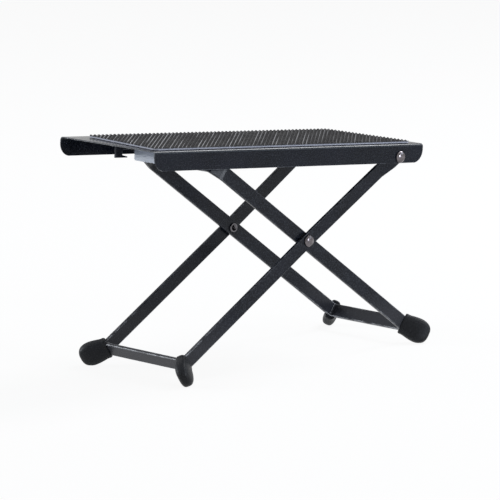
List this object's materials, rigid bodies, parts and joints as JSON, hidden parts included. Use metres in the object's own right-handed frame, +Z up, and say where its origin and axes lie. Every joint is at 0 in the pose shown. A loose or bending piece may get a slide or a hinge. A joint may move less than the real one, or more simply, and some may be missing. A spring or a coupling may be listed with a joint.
{
  "type": "guitar footrest",
  "caption": "Folding footrest: a tilted steel tray with a ribbed rubber mat on crossed flat-bar legs, its height set by hooks under the tray.",
  "frame": {"origin": "on the floor, under the middle of the bounding box", "axes": "+X along the tray towards its pivoted end, +Y across it to the far side, +Z up"},
  "size_m": [0.3136, 0.1336, 0.1977],
  "materials": {
    "outer_frame_paint": "satin blue-black paint",
    "inner_frame_paint": "satin blue-black paint",
    "tray_paint": "satin blue-black paint",
    "rack_paint": "satin blue-black paint",
    "rivet_nickel": "bright nickel plate",
    "rack_rivet_zinc": "dull zinc plate",
    "mat_rubber": "matte ribbed rubber",
    "foot_rubber": "matte black rubber",
    "washer_nylon": "plain nylon"
  },
  "bodies": {
    "outer": {"outer_frame": "outer_frame_paint", "foot_outer_near": "foot_rubber", "foot_outer_far": "foot_rubber", "centre_rivet_near": "rivet_nickel", "centre_rivet_far": "rivet_nickel", "centre_washer_near": "washer_nylon", "centre_washer_far": "washer_nylon", "tray_rivet_near": "rivet_nickel", "tray_rivet_far": "rivet_nickel", "tray_washer_near": "washer_nylon", "tray_washer_far": "washer_nylon"},
    "inner": {"inner_frame": "inner_frame_paint", "foot_inner_near": "foot_rubber", "foot_inner_far": "foot_rubber"},
    "tray": {"tray": "tray_paint", "mat": "mat_rubber", "rack_near": "rack_paint", "rack_far": "rack_paint", "rack_strap": "rack_paint", "rack_rivet_near_left": "rack_rivet_zinc", "rack_rivet_near_right": "rack_rivet_zinc", "rack_rivet_far_left": "rack_rivet_zinc", "rack_rivet_far_right": "rack_rivet_zinc"}
  },
  "joints": [
    {"name": "leg_scissor", "type": "hinge", "parent": "outer", "child": "inner", "pos_m": [0.02049, 0, 0.1022], "axis": [0, -1, 0], "range_deg": [0, 55]},
    {"name": "tray_swing", "type": "hinge", "parent": "outer", "child": "tray", "pos_m": [0.11854, 0, 0.16419], "axis": [0, 1, 0], "range_deg": [0, 140]}
  ]
}
